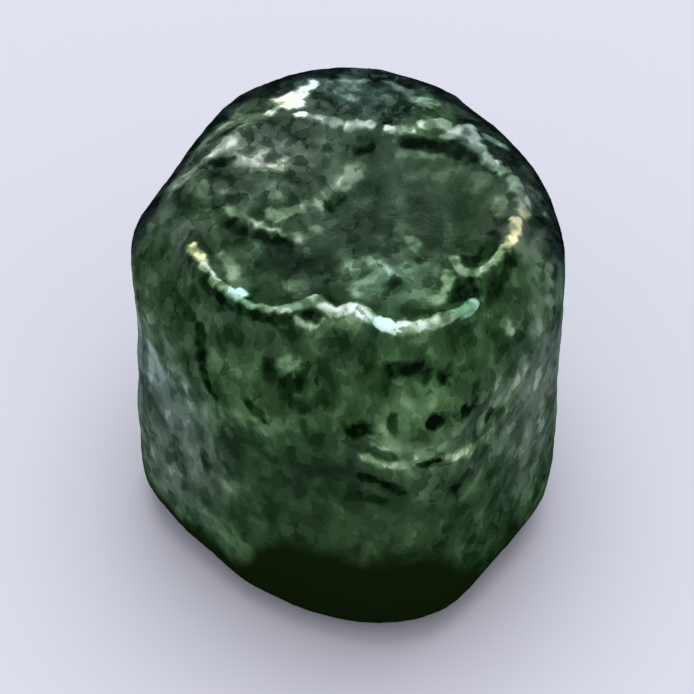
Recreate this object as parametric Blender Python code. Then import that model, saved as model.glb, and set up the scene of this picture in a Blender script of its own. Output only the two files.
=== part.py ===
"""Emerald crystal: a short, worn, six-sided beryl prism that stands on its foot.

A flat grid is rolled up into the crystal's skin. Its rows run from the foot up the sides, over
the shoulder and the bevel to the rim of the top face, and then inwards to that face's centre.
Each row is a rounded polygon whose sides are the crystal's faces.
"""

import math

import bmesh
import bpy
from mathutils import Vector, noise

MM = 0.001

# Driving dimensions, in millimetres and degrees.
RIM_HEIGHT = 12.0  # foot to the rim of the top face
HEEL_FULLNESS = 0.2  # 0 for a full heel that swells out at once, 1 for a straight cut
SHOULDER_ROUND = 0.7  # how far the worn shoulder reaches each way from its corner

# The faces of the six-sided prism and the worn edges between them, anticlockwise from above.
# bearing is the way each one looks, in degrees from +X. foot, body and rim are its distances from
# the axis: at the foot, up its upright part, and where its bevel meets the top face. heel and
# shoulder are the heights where its upright part begins and ends.
FACES = {
    "right": dict(bearing=350, foot=4.9, heel=2.6, body=6.0, shoulder=10.9, rim=4.5),
    "right edge": dict(bearing=10, foot=4.9, heel=2.2, body=5.76, shoulder=10.9, rim=4.7),
    "back right": dict(bearing=35, foot=4.8, heel=1.8, body=5.5, shoulder=11.0, rim=4.35),
    "back right edge": dict(bearing=64, foot=5.0, heel=1.6, body=5.75, shoulder=11.1, rim=3.9),
    "back": dict(bearing=93, foot=5.1, heel=1.6, body=5.87, shoulder=11.1, rim=2.95),
    "back left edge": dict(bearing=120, foot=5.0, heel=1.6, body=5.77, shoulder=11.1, rim=3.7),
    "back left": dict(bearing=149, foot=4.5, heel=1.6, body=5.2, shoulder=11.0, rim=3.93),
    "left edge": dict(bearing=186, foot=5.0, heel=1.8, body=5.87, shoulder=10.7, rim=4.35),
    "front left": dict(bearing=224, foot=4.6, heel=2.2, body=5.22, shoulder=9.6, rim=4.4),
    "front left edge": dict(bearing=248, foot=4.9, heel=2.8, body=5.55, shoulder=9.4, rim=4.2),
    "front": dict(bearing=270, foot=5.4, heel=3.3, body=6.15, shoulder=9.8, rim=4.35),
    "front right edge": dict(bearing=292, foot=5.7, heel=3.2, body=6.4, shoulder=10.0, rim=4.55),
    "front right": dict(bearing=322, foot=5.0, heel=2.6, body=5.78, shoulder=10.2, rim=4.55),
}
SHARPNESS = {"foot": 12, "body": 30, "rim": 24}  # higher is sharper at a row's corners

# Dents in the rim's outline, in place and degrees round it. A depth below zero stands out.
RIM_DENTS = (
    {"bearing": 26, "half_width": 9, "depth": 0.3},
    {"bearing": 66, "half_width": 12, "depth": 0.4},
    {"bearing": 256, "half_width": 10, "depth": 0.85},
    {"bearing": 274, "half_width": 8, "depth": 0.8},
    {"bearing": 312, "half_width": 6, "depth": -0.2},
    {"bearing": 324, "half_width": 5, "depth": 0.3},
)
RIM_DENT_FADE = 3  # higher keeps these dents closer to the rim

# Shallow dents and chips in the sides and the bevel. half_width is in degrees round the axis,
# half_height in millimetres up it.
SIDE_DENTS = (
    {"bearing": 186, "half_width": 38, "height": 7.6, "half_height": 2.6, "depth": 0.15},
    {"bearing": 51, "half_width": 7, "height": 10.4, "half_height": 2.5, "depth": 0.14},
    {"bearing": 332, "half_width": 12, "height": 3.8, "half_height": 1.3, "depth": 0.1},
    {"bearing": 262, "half_width": 7, "height": 11.5, "half_height": 0.3, "depth": 0.1},
    {"bearing": 307, "half_width": 4, "height": 11.6, "half_height": 0.35, "depth": 0.2},
    {"bearing": 112, "half_width": 9, "height": 11.4, "half_height": 0.3, "depth": 0.25},
)

# The sides swell and sink a little, as growth left them.
SIDE_RELIEF = 0.07
SIDE_RELIEF_PERIOD = Vector((2.2, 2.2, 1.5))  # round the axis and up it

# The top face. Heights are measured from the rim.
TABLE_CENTRE = Vector((0.25, -0.5))
LIP_HEIGHT = 0.05  # the bright edge that stands round the face
LIP_WIDTH = 0.35
TABLE_SINK = 0.12  # how far the rest of the face lies under the rim
LEDGE_HEIGHT = 0.16  # each of the two growth ledges at the back left
LEDGE_SLOPE = 0.45  # how wide the slope of a ledge is
LEDGE_END, LEDGE_RUNOUT = 0.5, 1.6  # where the ledges begin to sink away, and how far that takes
LEDGES = (
    (Vector((-3.3, -0.2)), Vector((-1.2, -1.25)), Vector((-0.4, 0.4))),
    (Vector((-2.1, -0.5)), Vector((-0.7, 0.25)), Vector((0.3, 1.9))),
)
HOLLOW = {"centre": Vector((2.0, -0.05)), "radius": 1.9, "depth": 0.2}
BACK_RIDGE = {"start": Vector((1.0, 2.25)), "end": Vector((3.0, 2.1)), "width": 0.3, "height": 0.14}

COLUMNS = 104  # points round each row
HEEL_STEPS, SIDE_STEPS, SHOULDER_STEPS, BEVEL_STEPS, TABLE_STEPS = 4, 11, 4, 7, 14


def face_shares(angle, level):
    """Each face's share in shaping the row at this level, in this direction from the axis."""
    shares = []
    for face in FACES.values():
        facing = max(0, math.cos(angle - math.radians(face["bearing"])))
        shares.append((facing / face[level]) ** SHARPNESS[level])
    return shares


def ring_distance(angle, level):
    """Distance from the axis to a rounded polygon whose sides are the faces at this level."""
    return sum(face_shares(angle, level)) ** (-1 / SHARPNESS[level])


def ring_height(angle, name):
    """The heel's or the shoulder's height in this direction, blended from face to face."""
    shares = face_shares(angle, "body")
    return sum(share * face[name] for share, face in zip(shares, FACES.values())) / sum(shares)


def bump(offset, half_width):
    """A soft bump that is 1 at no offset and fades away by about two half widths."""
    return math.exp(-((offset / half_width) ** 2))


def angle_between(angle, bearing):
    """The angle from a bearing in degrees to an angle in radians, in degrees."""
    return math.remainder(math.degrees(angle) - bearing, 360)


def rim_dent(angle):
    """How deep the rim of the top face is dented in this direction."""
    depth = 0
    for dent in RIM_DENTS:
        depth += dent["depth"] * bump(angle_between(angle, dent["bearing"]), dent["half_width"])
    return depth


def curve_between(start, corner, end, steps):
    """Points of a curve that leaves start towards corner and comes to end from it."""
    points = []
    for step in range(steps + 1):
        t = step / steps
        points.append(start * (1 - t) ** 2 + corner * 2 * t * (1 - t) + end * t**2)
    return points


def straight_between(start, end, steps):
    """Points on the line between two others, without either of them."""
    return [start.lerp(end, step / steps) for step in range(1, steps)]


def profile(angle):
    """The outline in the upright plane at this angle, as distances and heights up to the rim."""
    foot = Vector((ring_distance(angle, "foot"), 0))
    body = ring_distance(angle, "body")
    heel = Vector((body, ring_height(angle, "heel")))
    rim = Vector((ring_distance(angle, "rim"), RIM_HEIGHT))
    shoulder = Vector((body, ring_height(angle, "shoulder")))
    below = shoulder - Vector((0, SHOULDER_ROUND))
    above = shoulder + (rim - shoulder).normalized() * SHOULDER_ROUND
    points = curve_between(foot, Vector((body, HEEL_FULLNESS * heel.y)), heel, HEEL_STEPS)
    points += straight_between(heel, below, SIDE_STEPS)
    points += curve_between(below, shoulder, above, SHOULDER_STEPS)
    bevel = straight_between(above, rim, BEVEL_STEPS) + [rim]
    for step, point in enumerate(bevel, start=1):
        point.x -= rim_dent(angle) * (step / BEVEL_STEPS) ** RIM_DENT_FADE
    return points + bevel


def side_relief(angle, distance, height):
    """How far the sides swell here. It fades to nothing at the foot and at the rim."""
    place = Vector((distance * math.cos(angle), distance * math.sin(angle), height))
    place = Vector(part / period for part, period in zip(place, SIDE_RELIEF_PERIOD))
    fade = min(1, height, (RIM_HEIGHT - height) / SHOULDER_ROUND)
    relief = SIDE_RELIEF * noise.noise(place) * max(0, fade)
    for dent in SIDE_DENTS:
        across = bump(angle_between(angle, dent["bearing"]), dent["half_width"])
        relief -= dent["depth"] * across * bump(height - dent["height"], dent["half_height"])
    return relief


def smooth_step(value):
    """0 below 0, 1 above 1 and an S-shaped rise between them."""
    value = min(max(value, 0), 1)
    return value * value * (3 - 2 * value)


def left_of(place, start, end):
    """How far a place lies to the left of the line from start to end."""
    along = (end - start).normalized()
    return along.x * (place.y - start.y) - along.y * (place.x - start.x)


def table_relief(place, to_rim):
    """Height of the top face at this place, from the rim. to_rim is how far away the rim is."""
    inside = smooth_step(to_rim / LIP_WIDTH)
    height = LIP_HEIGHT * 4 * inside * (1 - inside) - TABLE_SINK * inside
    standing = inside * (1 - smooth_step((place.y - LEDGE_END) / LEDGE_RUNOUT))
    for corners in LEDGES:
        depth = min(left_of(place, start, end) for start, end in zip(corners, corners[1:]))
        height += LEDGE_HEIGHT * standing * smooth_step(depth / LEDGE_SLOPE)
    from_hollow = (place - HOLLOW["centre"]).length / HOLLOW["radius"]
    height -= HOLLOW["depth"] * inside * smooth_step((1 - from_hollow) * 2)
    start, end = BACK_RIDGE["start"], BACK_RIDGE["end"]
    along = min(max((place - start).dot(end - start) / (end - start).length_squared, 0), 1)
    from_ridge = (place - start.lerp(end, along)).length
    height += BACK_RIDGE["height"] * bump(from_ridge, BACK_RIDGE["width"])
    return height


def skin_rows():
    """The points of the crystal's skin, row by row, from the foot to the top face's centre."""
    angles = [2 * math.pi * column / COLUMNS for column in range(COLUMNS)]
    rows = []
    for points in zip(*(profile(angle) for angle in angles)):
        row = []
        for angle, (distance, height) in zip(angles, points):
            distance += side_relief(angle, distance, height)
            row.append(Vector((distance * math.cos(angle), distance * math.sin(angle), height)))
        rows.append(row)
    rim = rows[-1]
    for step in range(1, TABLE_STEPS + 1):
        row = []
        for point in rim:
            place = point.xy.lerp(TABLE_CENTRE, step / TABLE_STEPS)
            relief = table_relief(place, (point.xy - place).length)
            row.append(Vector((*place, RIM_HEIGHT + relief)))
        rows.append(row)
    return rows


def crystal_mesh():
    """The whole crystal as one closed mesh in metres, its bounding box centred on the axis."""
    rows = skin_rows()
    mesh = bmesh.new()
    bmesh.ops.create_grid(mesh, x_segments=COLUMNS, y_segments=len(rows) - 1, size=1)
    for corner in mesh.verts:
        column = round((corner.co.x + 1) / 2 * COLUMNS) % COLUMNS
        row = round((corner.co.y + 1) / 2 * (len(rows) - 1))
        corner.co = rows[row][column] * MM
    bmesh.ops.remove_doubles(mesh, verts=mesh.verts, dist=0.001 * MM)
    bmesh.ops.holes_fill(mesh, edges=mesh.edges, sides=0)
    bmesh.ops.recalc_face_normals(mesh, faces=mesh.faces)
    across = [corner.co.x for corner in mesh.verts]
    along = [corner.co.y for corner in mesh.verts]
    middle = Vector((max(across) + min(across), max(along) + min(along), 0)) / 2
    bmesh.ops.translate(mesh, verts=mesh.verts, vec=-middle)
    return mesh


def beryl():
    """Dark green, clouded emerald."""
    material = bpy.data.materials.new("beryl")
    material.use_nodes = True
    surface = material.node_tree.nodes["Principled BSDF"]
    surface.inputs["Base Color"].default_value = (0.035, 0.09, 0.04, 1)
    surface.inputs["Metallic"].default_value = 0
    surface.inputs["Roughness"].default_value = 0.25
    surface.inputs["IOR"].default_value = 1.577
    return material


def crystal():
    """The one piece: the crystal, standing on its flat foot."""
    mesh = crystal_mesh()
    skin = bpy.data.meshes.new("crystal")
    mesh.to_mesh(skin)
    mesh.free()
    skin.shade_smooth()
    skin.set_sharp_from_angle(angle=math.radians(35))
    skin.materials.append(beryl())
    piece = bpy.data.objects.new("crystal", skin)
    bpy.context.scene.collection.objects.link(piece)
    return piece


def main():
    for thing in list(bpy.data.objects):
        bpy.data.objects.remove(thing)
    crystal()


main()
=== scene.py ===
import math

import bmesh
import bpy
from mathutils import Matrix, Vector, kdtree, noise
from mathutils.bvhtree import BVHTree

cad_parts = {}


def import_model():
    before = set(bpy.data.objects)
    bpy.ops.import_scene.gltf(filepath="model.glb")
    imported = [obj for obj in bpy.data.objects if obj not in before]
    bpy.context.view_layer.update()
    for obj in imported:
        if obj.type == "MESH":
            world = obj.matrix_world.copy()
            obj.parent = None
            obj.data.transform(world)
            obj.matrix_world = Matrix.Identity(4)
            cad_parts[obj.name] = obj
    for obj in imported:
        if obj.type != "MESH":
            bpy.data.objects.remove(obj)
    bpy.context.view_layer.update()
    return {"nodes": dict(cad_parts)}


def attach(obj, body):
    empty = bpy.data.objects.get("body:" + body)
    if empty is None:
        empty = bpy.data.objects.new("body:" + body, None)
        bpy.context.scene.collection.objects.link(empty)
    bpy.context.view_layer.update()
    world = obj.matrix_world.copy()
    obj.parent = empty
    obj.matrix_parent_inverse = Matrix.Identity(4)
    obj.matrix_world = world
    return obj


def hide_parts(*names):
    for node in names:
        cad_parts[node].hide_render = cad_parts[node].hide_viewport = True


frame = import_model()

mm = 0.001
wellClear = 20  # of the crystal, where a ray at it starts, in millimetres
fieldCore = 0.3  # share of a field's reach within which it is at its full level

# the crystal's skin, in millimetres
skinLook = {
    "mergeDistance": 0.001,
    "refines": 3,
    "longest": 0.17,  # longer edges are halved
    "markLongest": 0.08,  # the same, near a mark or the rim
    "markBand": 0.28,  # how near that is
    "smoothPasses": 3,
    "smoothShare": 0.5,
    "footHeight": 0.3,  # below this the skin keeps its flat foot
    "waveHeight": 0.05,  # broad unevenness of the faces
    "waveSize": 1.6,
    "etchHeight": 0.020,  # worn etch pits all over
    "etchSize": 0.42,
    "etchOctaves": 3,
    "grainHeight": 0.005,
    "grainSize": 0.16,
    "swell": 0.045,  # of the whole skin over the plain solid
    "backSwell": 0.07,  # more of it on the back of the shoulder
    "backStart": (1.0, 3.5),  # where that starts and is full, in y
    "backRise": (9.5, 11.0),  # and in height
}
# how the marks lie on the skin, in millimetres
markLook = {
    "rimHeight": 12.0,  # of the solid's corners along the rim
    "rimSteps": 4,  # points from one of these corners to the next
    "steps": 20,  # points along each stretch of a mark
    "height": 0.022,  # of a pale mark above the skin, and of a dark one below it
    "highest": 1.2,  # strength past which a pale mark stands no higher
    "deepest": 1.5,  # and a dark one goes no deeper
    "edge": (0.92, 0.42),  # where a mark starts and is full, as shares of its width
    "wobble": 0.11,  # raggedness of the marks' edges
    "wobbleSize": 0.24,
    "wobbleOctaves": 2,
    "break": 0.5,  # how far marks fade where they break up
    "breakSize": 0.3,
    "breakSpan": (-0.1, 0.5),  # values of the noise from whole to broken up
    "reach": 0.7,  # the widest mark with its wobble
}
dimension, lacunarity = 1.0, 2.0  # of both fractal noises of the skin
# mottled tones of the etched skin: 0 is the darkest green and 1 white
mottleLook = {
    "tone": 0.33,
    "stretch": (1.0, 0.85, 0.62),  # under 1 draws the patches out along that axis
    "ragged": 0.35,
    "raggedSize": 1.6,
    # of its noise, for x, y and z
    "raggedShifts": ((9.3, -1.5, -7.9), (0.0, 0.0, 0.0), (6.3, 0.2, -2.7)),
    "edge": 13,  # higher is crisper
    "shuffle": 9,  # spreads the patches' centres over the random values
    "patches": ((0.60, 0.12),),  # size and strength
    "clouds": ((2.4, 0.07), (1.0, 0.07)),
    "hueSize": 0.6,  # patches that are greyer or greener than the rest
    "hue": 0.35,
    "darkest": 0.06,  # tone of the unmarked skin
    "plainWarmth": 0.15,  # share of the warmth that the unmarked skin gets
    "paleTone": 0.72,  # of a pale mark of strength 1
    "paleCover": 0.80,  # how far such a mark hides the mottles
    "darkCover": 0.85,
}

# some of these marks are painted highlight, reflection and shade, as noted below
# marks on the top face: strength, which is pale above nothing and dark below, then the
# width, and the line's points as x and y
topMarks = {
    # painted highlight along the front rim, with its beads and the corner chip's edge
    "right rim": (1.1, 0.20, ((4.5, -0.45), (4.4, -0.95), (4.1, -1.5), (3.9, -1.8), (3.45, -2.25))),
    "left rim": (1.2, 0.21, ((-4.0, -1.5), (-3.7, -2.0), (-3.5, -2.5), (-3.2, -2.7), (-2.8, -3.1))),
    "left rim end": (1.5, 0.22, ((-4.1, -1.3), (-3.9, -1.6))),
    "bead left": (1.7, 0.27, ((-2.8, -2.9), (-2.75, -2.95))),
    "bead front": (2.1, 0.28, ((0.85, -3.8), (1.0, -3.9))),
    "bead beside it": (1.5, 0.26, ((1.5, -3.9), (1.5, -3.9))),
    "rim turned in": (0.9, 0.22, ((3.45, -2.2), (3.2, -2.3), (3.0, -2.1), (2.85, -1.75))),
    "corner chip": (0.95, 0.24, ((2.7, -2.2), (2.65, -2.55), (2.5, -2.8), (2.3, -3.25))),
    "chip's gap": (-1.0, 0.18, ((2.95, -2.5), (2.85, -2.8), (2.8, -3.1))),
    "rim's hollow": (-1.0, 0.24, ((3.15, -1.75), (3.35, -1.85))),
    "beside the chip": (-1.0, 0.26, ((3.2, -2.5), (3.1, -3.0), (3.4, -2.8))),
    "inside the right rim": (-1.0, 0.27, ((3.5, -1.7), (3.8, -1.3), (3.9, -0.9))),
    # painted highlight on the crests of the two ledges, and painted shade on their risers
    "ledge crest": (0.8, 0.27, ((-3.2, 0.0), (-2.85, -0.4), (-2.3, -0.6), (-1.8, -0.85))),
    "ledge shelf": (0.5, 0.42, ((-3.2, 0.2), (-2.8, 0.1))),
    "ledge riser": (-1.0, 0.34, ((-3.0, -0.6), (-2.4, -0.8), (-1.6, -1.2))),
    "second crest": (0.8, 0.24, ((-2.05, -0.2), (-1.9, -0.35), (-1.65, -0.2), (-1.2, 0.0))),
    "second ledge": (0.65, 0.38, ((-0.7, 0.2), (-0.3, 0.6), (0.0, 1.0), (0.3, 1.5))),
    "second riser": (-0.9, 0.30, ((-0.2, 0.5), (-0.4, 0.2))),
    "loop": (0.7, 0.36, ((-2.9, 1.7), (-2.7, 1.5), (-2.5, 1.4))),
    "loop foot": (0.75, 0.30, ((-2.5, 1.4), (-2.1, 1.3), (-1.8, 1.3), (-1.6, 1.6))),
    "loop top": (0.7, 0.28, ((-2.3, 2.1), (-2.4, 1.7))),
    "middle patch": (0.4, 0.42, ((-1.9, 0.4), (-1.6, 0.5))),
    "middle spot": (1.0, 0.25, ((-1.3, -1.0), (-1.3, -1.0))),
    "middle streak": (0.6, 0.25, ((-1.1, -0.9), (-0.8, -0.7))),
    "left patch": (0.4, 0.42, ((-4.0, 1.0), (-3.9, 0.5))),
    "left hollow": (-0.7, 0.24, ((-3.8, 0.0), (-2.9, 0.2))),
    "left pit": (-1.0, 0.28, ((-3.5, 1.5), (-3.2, 1.6))),
    "left streak": (0.8, 0.24, ((-4.5, 1.05), (-4.2, 1.35), (-3.8, 1.7), (-3.4, 2.0), (-3.0, 2.5))),
    "outer streak": (0.7, 0.17, ((-3.5, 3.1), (-3.1, 3.3))),
    "between streaks": (-1.0, 0.20, ((-3.6, 2.6), (-2.9, 3.0))),
    "back left patch": (0.5, 0.42, ((-2.7, 3.0), (-2.4, 3.2))),
    # painted highlight along the back and right lip
    "back lip left": (0.8, 0.18, ((-1.3, 3.3), (-0.7, 3.1), (0.0, 2.9))),
    "back lip": (1.1, 0.20, ((0.0, 2.9), (0.7, 2.9))),
    "back lip middle": (1.1, 0.22, ((1.1, 2.7), (1.7, 2.7))),
    "back lip right": (1.0, 0.22, ((2.0, 2.9), (2.7, 2.9))),
    "back corner": (1.05, 0.28, ((2.7, 2.5), (3.3, 2.8), (3.4, 2.4), (3.6, 1.9))),
    "right lip": (1.15, 0.24, ((3.6, 1.9), (3.9, 1.5), (4.2, 1.3))),
    "right lip end": (0.9, 0.34, ((4.5, 0.9), (4.7, 0.4), (4.7, 0.0))),
    # painted shade under the lip
    "under the lip": (-0.95, 0.33, ((1.6, 2.3), (2.8, 2.1), (3.4, 1.8))),
    "under the lip left": (-1.1, 0.27, ((0.3, 2.1), (0.6, 2.2))),
    "hollow's edge": (0.5, 0.24, ((1.4, 2.0), (2.5, 1.9))),
    "hollow's floor": (0.4, 0.22, ((1.6, 1.3), (2.2, 1.4), (2.7, 1.2))),
    "right patch": (0.6, 0.27, ((4.0, -0.1), (4.1, 0.3))),
    "grey patch": (0.4, 0.42, ((3.4, 0.9), (3.6, 1.1))),
    "web": (0.3, 0.24, ((1.4, 0.5), (1.5, -0.3), (1.3, -0.9))),
    # painted reflection of the sky on the front of the top face
    "cloud": (0.8, 0.42, ((0.3, -2.7), (1.0, -2.1))),
    "cloud left": (0.6, 0.40, ((0.1, -1.9), (0.7, -1.8))),
    "cloud right": (0.6, 0.38, ((1.5, -2.2), (2.2, -2.0))),
    "cloud top": (0.6, 0.26, ((1.7, -0.8), (1.8, -1.2))),
    "cloud's hole": (-0.4, 0.28, ((0.8, -2.0), (0.8, -2.0))),
    "front patch": (0.6, 0.30, ((-3.2, -1.6), (-3.0, -2.2))),
    "front spot": (0.6, 0.27, ((-1.6, -2.6), (-1.2, -2.6))),
}
# some of these marks are painted highlight, reflection and shade, as noted below
# marks round the sides: strength, width, and the line's points as bearing in degrees and height
sideMarks = {
    # painted highlight: the sparkle at the back of the bevel
    "sparkle": (2.8, 0.46, ((110, 11.4), (103, 11.4))),
    "sparkle middle": (2.8, 0.48, ((108, 11.45), (108, 11.5))),
    "sparkle foot": (2.8, 0.47, ((112, 11.45), (111, 11.65))),
    "sparkle tail": (1.2, 0.22, ((115, 11.6), (118, 11.7), (122, 11.8))),
    "sparkle spot": (2.0, 0.24, ((112, 11.9), (110, 11.9))),
    # pale streaks on the back bevel: painted reflection of the room
    "bevel band": (0.8, 0.25, ((95, 11.4), (85, 11.4))),
    "bevel band right": (0.7, 0.22, ((81, 11.3), (69, 11.5))),
    "bevel patch": (0.7, 0.28, ((93, 11.6), (87, 11.7))),
    "bevel right": (0.7, 0.32, ((65, 11.6), (59, 11.6))),
    "bevel hole": (-1.1, 0.32, ((71, 11.9), (69, 11.8))),
    "bevel far right": (0.9, 0.20, ((35, 11.8), (29, 11.6))),
    "shoulder glint": (0.7, 0.17, ((4, 11.3), (2, 11.2))),
    "chip under the rim": (1.0, 0.15, ((249, 11.8), (251, 11.7), (256, 11.6), (260, 11.8))),
    "inside that chip": (-1.1, 0.22, ((253, 11.8), (258, 11.8))),
    "patch under the rim": (0.6, 0.38, ((269, 11.8), (272, 11.8))),
    # painted shade under the rim
    "under the left rim": (-1.0, 0.24, ((212, 11.9), (216, 11.8), (237, 11.8), (246, 11.8))),
    "under the right rim": (-0.6, 0.28, ((322, 11.6), (341, 11.9))),
    "long crack": (-1.0, 0.25, ((217, 10.6), (219, 9.9), (222, 9.2), (226, 8.7))),
    "left shoulder crack": (-0.8, 0.32, ((205, 10.8), (212, 10.7))),
    "front nick": (-0.9, 0.25, ((241, 9.4), (245, 9.2))),
    "front pit": (-1.0, 0.32, ((255, 10.0), (257, 10.0))),
    "front bar": (-1.0, 0.26, ((269, 9.6), (276, 9.9))),
    "short bar": (-0.9, 0.25, ((282, 10.2), (282, 9.9))),
    "low bar": (-1.0, 0.26, ((289, 8.4), (292, 8.5))),
    "low crack": (-1.0, 0.25, ((274, 8.0), (278, 7.9), (283, 7.5))),
    "low patch": (-0.8, 0.30, ((275, 7.2), (278, 7.1))),
    "low pit": (-0.8, 0.27, ((296, 6.9), (298, 6.8))),
    "shoulder bar": (-1.0, 0.28, ((284, 11.2), (294, 11.2), (292, 11.0))),
    "shoulder slit": (-0.8, 0.24, ((297, 10.9), (300, 11.0))),
    "beside the dot": (-0.7, 0.30, ((306, 10.3), (305, 9.9))),
    "under the arc": (-0.7, 0.30, ((277, 9.2), (281, 8.9))),
    "front shade": (-0.6, 0.36, ((246, 10.5), (256, 10.5))),
    "dot": (-2.5, 0.29, ((292, 10.0), (292, 10.0))),
    "second dot": (-2.5, 0.24, ((301, 9.9), (301, 9.8))),
    "third dot": (-1.5, 0.22, ((311, 8.8), (310, 8.6))),
    "arc start": (0.95, 0.27, ((275, 8.9), (277, 8.8))),
    "arc": (0.75, 0.28, ((277, 8.7), (283, 8.5), (287, 8.6))),
    "arc patch": (0.45, 0.40, ((289, 9.0), (293, 9.0))),
    "arc end": (0.75, 0.32, ((293, 8.5), (299, 8.3), (305, 8.0), (311, 7.9))),
    "second arc": (0.45, 0.42, ((311, 7.9), (315, 8.2), (318, 8.6), (321, 8.9), (324, 9.3))),
    "over the arc": (0.45, 0.38, ((279, 9.8), (280, 9.3))),
    "green between": (-0.4, 0.34, ((285, 10.2), (285, 9.7))),
    "pale belt": (0.35, 0.45, ((223, 7.7), (235, 8.5), (244, 8.8), (257, 9.6), (268, 9.9))),
    "front patch": (0.6, 0.36, ((249, 10.8), (252, 10.9))),
    "right slot": (0.9, 0.24, ((346, 11.1), (343, 10.9))),
    "right slot low": (0.8, 0.20, ((340, 10.6), (338, 10.1))),
    "right spot": (0.8, 0.25, ((323, 11.0), (323, 10.8))),
    "right patch": (0.6, 0.30, ((324, 9.7), (322, 9.1))),
    "right streak": (0.8, 0.26, ((332, 8.5), (331, 8.0))),
    "right streak low": (0.7, 0.27, ((335, 6.7), (335, 5.6))),
    "right foot": (0.3, 0.28, ((328, 5.9), (327, 5.3))),
    "right foot outside": (0.3, 0.28, ((336, 4.9), (334, 3.9))),
    "left streak": (0.6, 0.26, ((194, 10.2), (197, 9.3))),
    "left patch": (0.5, 0.28, ((197, 8.2), (198, 6.9))),
    "left streak low": (0.6, 0.22, ((213, 8.0), (217, 7.4))),
    "left bar": (-0.6, 0.27, ((208, 5.1), (210, 4.0))),
    "left pit": (-0.6, 0.32, ((221, 5.5), (222, 5.1))),
    # painted shade along the outline of the left and right sides
    "left edge": (-0.45, 0.42, ((182, 10.9), (190, 10.6), (194, 9.8), (194, 3.1))),
    "right edge": (-0.25, 0.62, ((355, 11.1), (345, 10.9), (340, 10.4), (339, 7.0), (341, 3.0))),
}
# the painted highlight along the rim: strength, width, and first and last bearing, anticlockwise
rimLines = {
    "all round": (0, 0.1, 0, 360),  # unseen, it only keeps the mesh fine along the rim
    "front": (1.12, 0.26, 224, 316),
    "bead right": (1.45, 0.28, 315, 316),
}
# broad fields over the skin, each with its level, centre and reach: where it is paler, or
# darker below nothing
toneFields = (
    # paler left and right sides: painted reflection of the paper
    (0.20, (-5.8, -1.6, 5.5), 5.0),
    (0.18, (6.0, -2.0, 7.2), 5.0),
    # paler patch at the front: painted light shining through the crystal
    (0.30, (1.9, -5.7, 9.4), 2.2),
    (-0.10, (-1.6, -2.0, 12.0), 1.4),
    (-0.04, (-2.2, -5.2, 6.5), 2.6),
    (-0.06, (0.0, -5.0, 10.8), 3.0),
    # paler upper left side: painted reflection of the paper
    (0.16, (-5.6, -0.8, 8.2), 2.6),
    # darker back right of the shoulder: painted shade along the outline
    (-0.20, (4.4, 2.8, 11.4), 2.2),
    (-0.14, (5.5, 0.8, 10.8), 2.3),
    (-0.05, (-0.8, -5.8, 4.6), 2.2),
    (-0.10, (4.2, -4.6, 5.2), 2.2),
    (-0.08, (-4.9, -3.8, 4.2), 2.0),
)
# where the skin is grey rather than green
greyFields = (
    (0.42, (-0.6, 0.6, 12.2), 6.5),
    (0.35, (-2.6, 2.2, 12.0), 2.8),
    (0.5, (-4.2, -1.2, 12.0), 1.0),
    (0.5, (4.4, -0.7, 12.0), 1.2),
    # grey left and right sides: painted reflection of the paper
    (0.85, (-6.0, -1.5, 5.5), 5.4),
    (0.7, (-5.6, 1.2, 10.0), 3.2),
    (0.75, (6.0, -2.2, 7.0), 5.6),
    (0.5, (6.0, -0.2, 7.5), 2.8),
    # grey back bevel: painted reflection of the room
    (0.9, (0.6, 5.0, 11.6), 2.8),
    # grey back right of the shoulder: painted shade along the outline
    (0.8, (4.4, 3.0, 11.4), 2.6),
    (0.9, (5.5, 0.6, 10.6), 2.6),
    (-0.3, (4.0, -4.8, 5.5), 2.2),
)
# where its pale marks are warm, or all of it is cold below nothing
warmFields = (
    # warm ends and cold beads of the painted rim highlight
    (1.0, (-4.0, -1.4, 12.0), 0.8),
    (1.0, (4.4, -0.7, 12.0), 1.4),
    (-1.0, (-2.8, -3.0, 12.0), 0.7),
    (-0.8, (0.9, -3.9, 12.0), 0.7),
    (-1.0, (3.2, -3.3, 12.0), 0.8),
    (0.35, (1.9, -5.7, 9.2), 2.6),
    # cold painted reflection of the sky on the top face
    (-0.5, (1.2, -2.3, 12.0), 1.8),
    # cold back and right of the shoulder and right side: painted reflection and painted shade
    (-1.0, (0.5, 4.9, 11.5), 2.8),
    (-0.8, (4.6, 3.0, 11.2), 2.4),
    (-0.6, (5.8, 0.6, 10.2), 2.6),
    (-0.5, (6.2, -0.8, 8.0), 2.8),
    (0.5, (4.6, -4.2, 7.5), 3.2),
    # cold left side: painted reflection of the paper
    (-0.4, (-5.9, -1.0, 7.0), 3.6),
    (0.25, (-2.6, 2.2, 12.0), 3.0),
    # warmth of the painted sparkle highlight
    (0.5, (-1.6, 4.8, 11.5), 1.8),
    (1.6, (0.3, -5.8, 5.0), 3.6),
)
# where the mottles are strong, or weak below nothing
roughFields = (
    (0.5, (-2.4, 1.4, 12.0), 3.6),
    (0.6, (0.6, -2.2, 12.0), 2.0),
    (-0.5, (2.3, 0.4, 12.0), 2.2),
    (-0.4, (-0.8, -6.0, 5.5), 4.0),
    (0.6, (3.0, -5.2, 8.6), 3.0),
    (-0.35, (6.2, -1.2, 8.0), 3.2),
    (0.6, (0.6, 5.0, 11.6), 2.6),
)
# where the clear crystal shows through
clearFields = (
    (0.30, (0.3, -0.5, 12.0), 5.0),
    (0.20, (2.0, 0.2, 11.8), 2.2),
    (0.15, (1.9, -5.7, 9.0), 3.0),
    (0.10, (0.0, -6.0, 6.0), 5.0),
)
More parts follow.
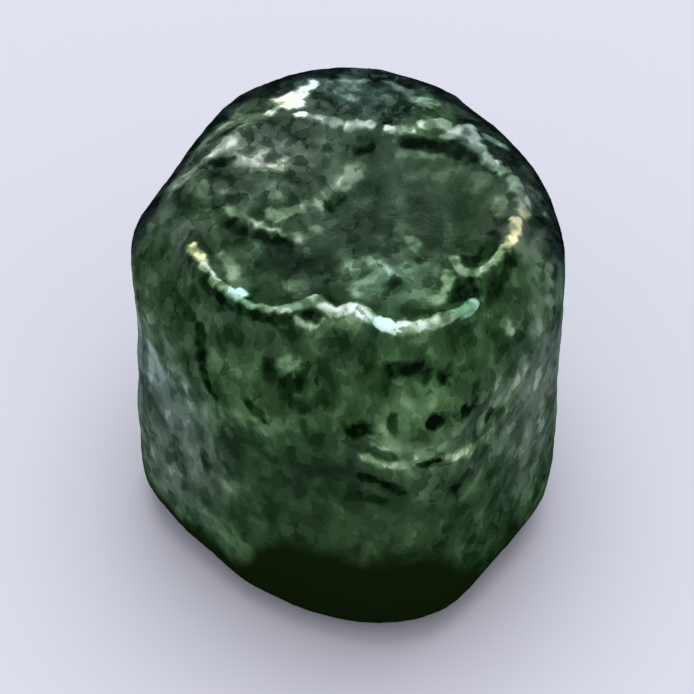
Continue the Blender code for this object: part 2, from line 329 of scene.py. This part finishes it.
# painted shade: the dark band along the back of the shoulder, standing in for the dark the crystal
# refracts and reflects there
shadeLook = {
    "strength": 1.1,
    "backHeight": 11.45,
    "sideHeight": 11.2,
    "footSpan": (9.6, 10.4),  # heights between which its lower edge fades out
    "turn": (-0.3, 0.15),  # of the skin's normal in y, from none of it to all
    "grey": 0.8,
    "cold": 0.8,
    "edge": 0.14,
    "wobble": 0.14,
    "wobbleSize": 0.5,
}
# painted shade round the foot, standing in for the contact shade and the dark seen through the
# base: its height all round, and how far it climbs at the front
footShadeLook = {
    "height": 1.75,
    "climb": 2.55,
    "bearing": 272,
    "spread": (42, 16.8),  # degrees from there to where the climb ends and is full
    "edge": 0.6,
    "wobble": 0.28,
    "wobbleSize": 0.8,
}


def copyOfNode(name):
    # a CAD node is loose triangles, so its copy is merged first
    copy = bmesh.new()
    copy.from_mesh(frame["nodes"][name].data)
    bmesh.ops.remove_doubles(copy, verts=copy.verts, dist=skinLook["mergeDistance"] * mm)
    return copy


def bearingOf(place):
    return math.degrees(math.atan2(place.y, place.x)) % 360


def rimOf(skin):
    # the line of the rim round the top face, by bearing
    height, merge = markLook["rimHeight"], skinLook["mergeDistance"]
    corners = [v.co / mm for v in skin.verts if abs(v.co.z / mm - height) < merge]
    corners.sort(key=bearingOf)
    return list(alongLine(corners + corners[:1], markLook["rimSteps"]))


def finderOf(places):
    finder = kdtree.KDTree(len(places))
    for number, place in enumerate(places):
        finder.insert(place, number)
    finder.balance()
    return finder


def alongLine(points, steps):
    for first, last in zip(points, points[1:]):
        first, last = Vector(first), Vector(last)
        for step in range(steps + 1):
            yield first.lerp(last, step / steps)


def onTop(tree, place):
    start = Vector((place.x, place.y, wellClear))
    return tree.ray_cast(start * mm, Vector((0, 0, -1)))[0] / mm


def onSide(tree, place):
    bearing = math.radians(place.x)
    outwards = Vector((math.cos(bearing), math.sin(bearing), 0))
    start = outwards * wellClear + Vector((0, 0, place.y))
    return tree.ray_cast(start * mm, -outwards)[0] / mm


def markPoints(skin):
    # where every mark lies on the skin: places, and each one's strength and width
    tree = BVHTree.FromBMesh(skin)
    rim = rimOf(skin)
    places, looks = [], []
    for marks, settle in ((topMarks, onTop), (sideMarks, onSide)):
        for strength, width, points in marks.values():
            for point in alongLine(points, markLook["steps"]):
                places.append(settle(tree, point))
                looks.append((strength, width))
    for strength, width, first, last in rimLines.values():
        for place in rim:
            if first <= bearingOf(place) <= last:
                places.append(place)
                looks.append((strength, width))
    return places, looks


def fade(value, low, high):
    # eases from 0 at low to 1 at high, which may be below it
    share = min(max((value - low) / (high - low), 0), 1)
    return share * share * (3 - 2 * share)


def fieldAt(place, fields):
    total = 0
    for level, centre, reach in fields:
        total += level * fade((place - Vector(centre)).length, reach, reach * fieldCore)
    return total


def marksAt(place, finder, looks):
    # the strongest pale and dark marks here
    look = markLook
    pale = dark = 0
    wobble = noise.fractal(place / look["wobbleSize"], dimension, lacunarity, look["wobbleOctaves"])
    wobble *= look["wobble"]
    whole = 1 - look["break"] * fade(noise.noise(place / look["breakSize"]), *look["breakSpan"])
    outer, inner = look["edge"]
    for _, number, away in finder.find_range(place, look["reach"]):
        strength, width = looks[number]
        strength *= fade(away + wobble, width * outer, width * inner)
        pale = max(pale, strength)
        dark = max(dark, -strength)
    return pale * whole, dark * whole


def jogAt(place):
    # as noise_vector, which differs from run to run
    return Vector(noise.noise(place + Vector(shift)) for shift in mottleLook["raggedShifts"])


def patchAt(place, size):
    # soft patches, each of one tone between -1 and 1
    spot = place / size
    spot += jogAt(spot * mottleLook["raggedSize"]) * mottleLook["ragged"]
    total = whole = 0
    distances, centres = noise.voronoi(spot)
    for distance, centre in zip(distances, centres):
        share = math.exp((distances[0] - distance) * mottleLook["edge"])
        total += share * noise.cell(centre * mottleLook["shuffle"])
        whole += share
    return total / whole


def drawnOut(place):
    return Vector(part * stretch for part, stretch in zip(place, mottleLook["stretch"]))


def greyAt(place):
    grey = fieldAt(place, greyFields)
    grey += mottleLook["hue"] * grey * patchAt(drawnOut(place), mottleLook["hueSize"])
    return min(max(grey, 0), 1)


def warmAt(place, pale):
    # little but the pale marks is warm, while all of a cold field is cold
    warm = fieldAt(place, warmFields)
    plain = mottleLook["plainWarmth"]
    return warm * (plain + (1 - plain) * min(pale, 1)) if warm > 0 else warm


def toneAt(place, pale, dark):
    # 0 is the darkest green and 1 white
    drawn = drawnOut(place)
    tone = mottleLook["tone"] + fieldAt(place, toneFields)
    for size, strength in mottleLook["patches"]:
        tone += strength * patchAt(drawn, size)
    for size, strength in mottleLook["clouds"]:
        tone += strength * noise.noise(drawn / size)
    tone = max(tone, mottleLook["darkest"])
    tone += pale * (mottleLook["paleTone"] - mottleLook["paleCover"] * tone)
    return tone * (1 - mottleLook["darkCover"] * min(dark, 1))


def shoulderShade(place, normal):
    # painted shade along the back of the shoulder, where the bevel turns down into the sides
    look = shadeLook
    backwards = fade(normal.y, *look["turn"])
    top = look["sideHeight"] + (look["backHeight"] - look["sideHeight"]) * backwards
    top += noise.noise(place / look["wobbleSize"]) * look["wobble"]
    shade = look["strength"] * backwards * fade(place.z, top, top - look["edge"])
    return shade * fade(place.z, *look["footSpan"])


def footShadeAt(place):
    # painted shade round the foot
    look = footShadeLook
    away = abs(bearingOf(place) - look["bearing"])
    height = look["height"] + look["climb"] * fade(away, *look["spread"])
    height += noise.noise(place / look["wobbleSize"]) * look["wobble"]
    return fade(place.z, height + look["edge"], height - look["edge"])


def skinRelief(place):
    # how far the skin swells here
    look = skinLook
    waves = noise.noise(place / look["waveSize"]) * look["waveHeight"]
    etch = noise.fractal(place / look["etchSize"], dimension, lacunarity, look["etchOctaves"])
    grain = noise.noise(place / look["grainSize"]) * look["grainHeight"]
    back = look["backSwell"] * fade(place.y, *look["backStart"]) * fade(place.z, *look["backRise"])
    return look["swell"] + back + waves + etch * look["etchHeight"] + grain


def halve(skin, edges):
    bmesh.ops.subdivide_edges(skin, edges=edges, cuts=1, use_grid_fill=True)
    bmesh.ops.triangulate(skin, faces=[face for face in skin.faces if len(face.verts) > 3])


def longEdges(skin, length):
    # all but those of the flat foot
    foot = skinLook["footHeight"] * mm
    edges = [e for e in skin.edges if max(v.co.z for v in e.verts) > foot]
    return [e for e in edges if e.calc_length() > length * mm]


def refine(skin, marks):
    # makes the mesh finer, and finest along the marks and the rim
    for _ in range(skinLook["refines"]):
        halve(skin, longEdges(skin, skinLook["longest"]))
    near = skinLook["markBand"]
    edges = longEdges(skin, skinLook["markLongest"])
    halve(skin, [e for e in edges if max(marks.find(v.co / mm)[2] for v in e.verts) < near])
    upper = [v for v in skin.verts if v.co.z / mm > skinLook["footHeight"]]
    axes = {"use_axis_x": True, "use_axis_y": True, "use_axis_z": True}
    for _ in range(skinLook["smoothPasses"]):
        bmesh.ops.smooth_vert(skin, verts=upper, factor=skinLook["smoothShare"], **axes)
    skin.normal_update()
    print("mesh refined")


def dress(skin, marks, looks):
    # gives each corner its values for the material, and then its relief
    names = ("tone", "rough", "grey", "warm", "clear", "footShade")
    layers = {name: skin.verts.layers.float.new(name) for name in names}
    moves = []
    for corner in skin.verts:
        place = corner.co / mm
        pale, dark = marksAt(place, marks, looks)
        # painted shade along the back of the shoulder
        shade = shoulderShade(place, corner.normal)
        # painted shade round the foot
        footShade = footShadeAt(place)
        hidden = min(pale + dark + shade + footShade, 1)
        corner[layers["tone"]] = toneAt(place, pale, max(dark, shade))
        corner[layers["rough"]] = 1 + fieldAt(place, roughFields)
        corner[layers["grey"]] = min(greyAt(place) + shade * shadeLook["grey"], 1)
        corner[layers["warm"]] = warmAt(place, pale) - shade * shadeLook["cold"]
        corner[layers["clear"]] = fieldAt(place, clearFields) * (1 - hidden)
        corner[layers["footShade"]] = footShade
        if place.z > skinLook["footHeight"]:
            mark = min(pale, markLook["highest"]) - min(dark, markLook["deepest"])
            swell = skinRelief(place) + mark * markLook["height"]
            moves.append((corner, corner.normal * swell * mm))
    for corner, move in moves:
        corner.co += move
    print("skin dressed")


def emeraldCrystal():
    skin = copyOfNode("crystal")
    places, looks = markPoints(skin)
    marks = finderOf(places)
    refine(skin, marks)
    dress(skin, marks, looks)
    data = bpy.data.meshes.new("emeraldCrystal")
    skin.to_mesh(data)
    skin.free()
    data.shade_smooth()
    piece = bpy.data.objects.new("emeraldCrystal", data)
    bpy.context.scene.collection.objects.link(piece)
    print("crystal skin:", len(data.polygons), "faces")
    return piece


# materials

berylLook = {
    "glass": (0.60, 0.86, 0.62, 1),
    "roughness": 0.14,
    "ior": 1.577,
    "absorption": (0.28, 0.62, 0.26, 1),
    "density": 400,  # per metre
    "mirror": (0.22, 0.42, 0.28, 1),  # tint of the glass's reflections
    "skinRoughness": 0.55,
    # colour of the painted shade round the foot
    "footShade": (0.0065, 0.0140, 0.0030, 1),
    "warmth": (1.12, 1.00, 0.60, 1),
    "coldness": (0.80, 1.00, 1.06, 1),
    "flake": 3.3,  # to the millimetre
    "flakeRagged": 1.5,
    "flakeTone": 0.26,
    "patch": (1.5, 1, 0.5, 0.6),  # to the millimetre, then detail, roughness and distortion
    "patchTone": 0.44,
    "steps": 0.07,  # between the tones of neighbouring patches
    "stepShare": 0.8,
    "grain": (10.0, 3, 0.6, 0),  # as the patches
    "bumpStrength": 0.6,
    "bumpDepth": 0.03,
}
noiseMiddle = 0.5  # of a noise's or a flake's values
# colours of the etched skin, from the darkest green to the white of the painted highlights
greenTones = (
    (0.00, (0.002, 0.006, 0.002)),
    (0.20, (0.012, 0.036, 0.011)),
    (0.40, (0.040, 0.092, 0.037)),
    (0.60, (0.105, 0.215, 0.092)),
    (0.80, (0.255, 0.410, 0.235)),
    (1.00, (0.880, 0.980, 0.920)),
)
greyTones = (
    (0.00, (0.004, 0.006, 0.006)),
    (0.20, (0.022, 0.033, 0.025)),
    (0.40, (0.071, 0.098, 0.077)),
    (0.60, (0.160, 0.210, 0.174)),
    (0.80, (0.365, 0.430, 0.385)),
    (1.00, (0.900, 0.950, 0.940)),
)


class Graph:
    # short names for making and joining nodes
    def __init__(self, tree):
        self.nodes, self.links = tree.nodes, tree.links

    def add(self, kind, **settings):
        node = self.nodes.new(kind)
        for name, value in settings.items():
            setattr(node, name, value)
        return node

    def feed(self, socket, value):
        if isinstance(value, bpy.types.NodeSocket):
            self.links.new(value, socket)
        else:
            socket.default_value = value

    def maths(self, operation, first, second=0.0, third=0.0):
        node = self.add("ShaderNodeMath", operation=operation)
        for socket, value in zip(node.inputs, (first, second, third)):
            self.feed(socket, value)
        return node.outputs[0]

    def vector(self, operation, first, second):
        node = self.add("ShaderNodeVectorMath", operation=operation)
        self.feed(node.inputs[0], first)
        self.feed(node.inputs["Scale" if operation == "SCALE" else 1], second)
        return node.outputs[0]

    def ramp(self, value, low, high):
        node = self.add("ShaderNodeMapRange", interpolation_type="SMOOTHSTEP")
        for name, number in (("Value", value), ("From Min", low), ("From Max", high)):
            self.feed(node.inputs[name], number)
        return node.outputs["Result"]

    def colours(self, value, stops):
        node = self.add("ShaderNodeValToRGB")
        elements = node.color_ramp.elements
        for number, (position, colour) in enumerate(stops):
            element = elements[number] if number < 2 else elements.new(position)
            element.position = position
            element.color = (*colour, 1)
        self.feed(node.inputs["Fac"], value)
        return node.outputs["Color"]

    def attribute(self, name):
        return self.add("ShaderNodeAttribute", attribute_name=name).outputs["Fac"]

    def tint(self, share, colour, tinted):
        return self.mix(share, colour, tinted, "MULTIPLY")

    def mix(self, share, first, second, blend="MIX"):
        node = self.add("ShaderNodeMix", data_type="RGBA", blend_type=blend)
        for number, value in ((0, share), (6, first), (7, second)):
            self.feed(node.inputs[number], value)
        return node.outputs[2]

    def noise(self, place, *settings):
        node = self.add("ShaderNodeTexNoise")
        self.feed(node.inputs["Vector"], place)
        for name, value in zip(("Scale", "Detail", "Roughness", "Distortion"), settings):
            self.feed(node.inputs[name], value)
        return node.outputs["Fac"]

    def flakes(self, place, scale, ragged):
        # a value at random for each ragged flake
        jogs = self.add("ShaderNodeTexNoise")
        self.feed(jogs.inputs["Vector"], place)
        self.feed(jogs.inputs["Scale"], scale)
        jog = self.vector("SUBTRACT", jogs.outputs["Color"], (noiseMiddle,) * 3)
        jog = self.vector("SCALE", jog, ragged / scale)
        node = self.add("ShaderNodeTexVoronoi")
        self.feed(node.inputs["Vector"], self.vector("ADD", place, jog))
        self.feed(node.inputs["Scale"], scale)
        return node.outputs["Color"]


def beryl():
    material = bpy.data.materials.new("beryl")
    material.use_nodes = True
    graph = Graph(material.node_tree)
    look = berylLook
    # in millimetres
    place = graph.vector("SCALE", graph.add("ShaderNodeTexCoord").outputs["Object"], 1 / mm)
    drawn = graph.vector("MULTIPLY", place, mottleLook["stretch"])

    # the skin's tone, with mottles in steps
    flakes = graph.flakes(drawn, look["flake"], look["flakeRagged"])
    flakes = graph.maths("ADD", flakes, -noiseMiddle)
    patches = graph.maths("ADD", graph.noise(drawn, *look["patch"]), -noiseMiddle)
    rough = graph.maths("MULTIPLY", flakes, look["flakeTone"])
    rough = graph.maths("MULTIPLY_ADD", patches, look["patchTone"], rough)
    tone = graph.maths("MULTIPLY_ADD", rough, graph.attribute("rough"), graph.attribute("tone"))
    stepped = graph.maths("SNAP", tone, look["steps"])
    stepped = graph.maths("ADD", stepped, look["steps"] / 2)
    smooth = graph.maths("MULTIPLY", tone, 1 - look["stepShare"])
    tone = graph.maths("MULTIPLY_ADD", stepped, look["stepShare"], smooth)

    bump = graph.add("ShaderNodeBump")
    bump.inputs["Strength"].default_value = look["bumpStrength"]
    bump.inputs["Distance"].default_value = look["bumpDepth"] * mm
    height = graph.maths("ADD", tone, graph.noise(place, *look["grain"]))
    graph.feed(bump.inputs["Height"], height)

    # clear crystal
    clear = graph.nodes["Principled BSDF"]
    clear.inputs["Base Color"].default_value = look["glass"]
    clear.inputs["IOR"].default_value = look["ior"]
    clear.inputs["Specular Tint"].default_value = look["mirror"]
    clear.inputs["Transmission Weight"].default_value = 1
    clear.inputs["Roughness"].default_value = look["roughness"]
    graph.feed(clear.inputs["Normal"], bump.outputs["Normal"])

    # etched skin
    skin = graph.add("ShaderNodeBsdfPrincipled")
    green = graph.colours(tone, greenTones)
    colour = graph.mix(graph.attribute("grey"), green, graph.colours(tone, greyTones))
    warm = graph.attribute("warm")
    colour = graph.tint(warm, colour, look["warmth"])
    colour = graph.tint(graph.maths("MULTIPLY", warm, -1), colour, look["coldness"])
    # painted shade round the foot, in its own dark colour
    colour = graph.mix(graph.attribute("footShade"), colour, look["footShade"])
    graph.feed(skin.inputs["Base Color"], colour)
    skin.inputs["Roughness"].default_value = look["skinRoughness"]
    skin.inputs["Specular IOR Level"].default_value = 0
    graph.feed(skin.inputs["Normal"], bump.outputs["Normal"])

    both = graph.add("ShaderNodeMixShader")
    graph.feed(both.inputs[0], graph.attribute("clear"))
    graph.feed(both.inputs[1], skin.outputs[0])
    graph.feed(both.inputs[2], clear.outputs[0])
    out = graph.nodes["Material Output"]
    graph.feed(out.inputs["Surface"], both.outputs[0])

    absorb = graph.add("ShaderNodeVolumeAbsorption")
    absorb.inputs["Color"].default_value = look["absorption"]
    absorb.inputs["Density"].default_value = look["density"]
    graph.feed(out.inputs["Volume"], absorb.outputs["Volume"])
    return material


# the studio, in metres and watts

studio = {
    "paper": (0.72, 0.72, 0.80, 1),
    "paperRoughness": 0.9,
    "paperSpecular": 0.1,
    "floorSize": 1.2,
    "keyPower": 0.385,
    "keySize": 0.22,
    "keyPlace": (0.010, 0.055, 0.262),
    "skyStrength": 1.1,
    "skyBlend": 0.3,  # in y, to either side of where the room's two halves meet
}
# brightness of the room from the horizon to straight up, behind the crystal and before it
skyBehind = (
    (0.00, (0.55, 0.56, 0.60)),
    (0.30, (0.50, 0.52, 0.56)),
    (0.60, (0.30, 0.33, 0.38)),
    (0.85, (0.30, 0.31, 0.33)),
    (1.00, (0.90, 0.90, 0.92)),
)
skyBefore = (
    (0.00, (0.50, 0.50, 0.53)),
    (0.50, (0.62, 0.62, 0.65)),
    (0.85, (0.65, 0.65, 0.68)),
    (1.00, (0.90, 0.90, 0.92)),
)
# in millimetres
camera = {
    "elevation": 52,  # degrees
    "distance": 115,
    "aim": (0.0, 0.09, 5.9),
    "pxPerMm": 36,
    "picture": 694,  # pixels across
    "sensor": 36,
    "nearest": 5,
}


def floor():
    flat = bmesh.new()
    bmesh.ops.create_grid(flat, x_segments=1, y_segments=1, size=studio["floorSize"] / 2)
    data = bpy.data.meshes.new("floor")
    flat.to_mesh(data)
    flat.free()
    piece = bpy.data.objects.new("floor", data)
    bpy.context.scene.collection.objects.link(piece)
    material = bpy.data.materials.new("paper")
    material.use_nodes = True
    shader = material.node_tree.nodes["Principled BSDF"]
    shader.inputs["Base Color"].default_value = studio["paper"]
    shader.inputs["Roughness"].default_value = studio["paperRoughness"]
    shader.inputs["Specular IOR Level"].default_value = studio["paperSpecular"]
    data.materials.append(material)


def areaLight(name, place, aim, size, power):
    data = bpy.data.lights.new(name, "AREA")
    data.shape = "DISK"
    data.size = size
    data.energy = power
    lamp = bpy.data.objects.new(name, data)
    lamp.location = Vector(place)
    lamp.rotation_euler = (Vector(aim) - Vector(place)).to_track_quat("-Z", "Y").to_euler()
    bpy.context.scene.collection.objects.link(lamp)


def world():
    sky = bpy.data.worlds.new("studio")
    bpy.context.scene.world = sky
    sky.use_nodes = True
    graph = Graph(sky.node_tree)
    parts = graph.add("ShaderNodeSeparateXYZ")
    graph.feed(parts.inputs["Vector"], graph.add("ShaderNodeTexCoord").outputs["Generated"])
    behind = graph.ramp(parts.outputs["Y"], -studio["skyBlend"], studio["skyBlend"])
    up = parts.outputs["Z"]
    colour = graph.mix(behind, graph.colours(up, skyBefore), graph.colours(up, skyBehind))
    background = graph.nodes["Background"]
    graph.feed(background.inputs["Color"], colour)
    background.inputs["Strength"].default_value = studio["skyStrength"]


def viewpoint():
    aim = Vector(camera["aim"]) * mm
    tilt = math.radians(camera["elevation"])
    back = Vector((0, -math.cos(tilt), math.sin(tilt)))
    data = bpy.data.cameras.new("camera")
    data.sensor_width = camera["sensor"]
    data.lens = data.sensor_width * camera["pxPerMm"] * camera["distance"] / camera["picture"]
    data.clip_start = camera["nearest"] * mm
    eye = bpy.data.objects.new("camera", data)
    eye.location = aim + back * camera["distance"] * mm
    eye.rotation_euler = (-back).to_track_quat("-Z", "Y").to_euler()
    bpy.context.scene.collection.objects.link(eye)
    bpy.context.scene.camera = eye


crystal = emeraldCrystal()
crystal.data.materials.append(beryl())
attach(crystal, "root")
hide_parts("crystal")
floor()
areaLight("key", studio["keyPlace"], (0, 0, 0), studio["keySize"], studio["keyPower"])
world()
viewpoint()
bpy.context.scene.view_settings.view_transform = "Standard"
print("scene built")
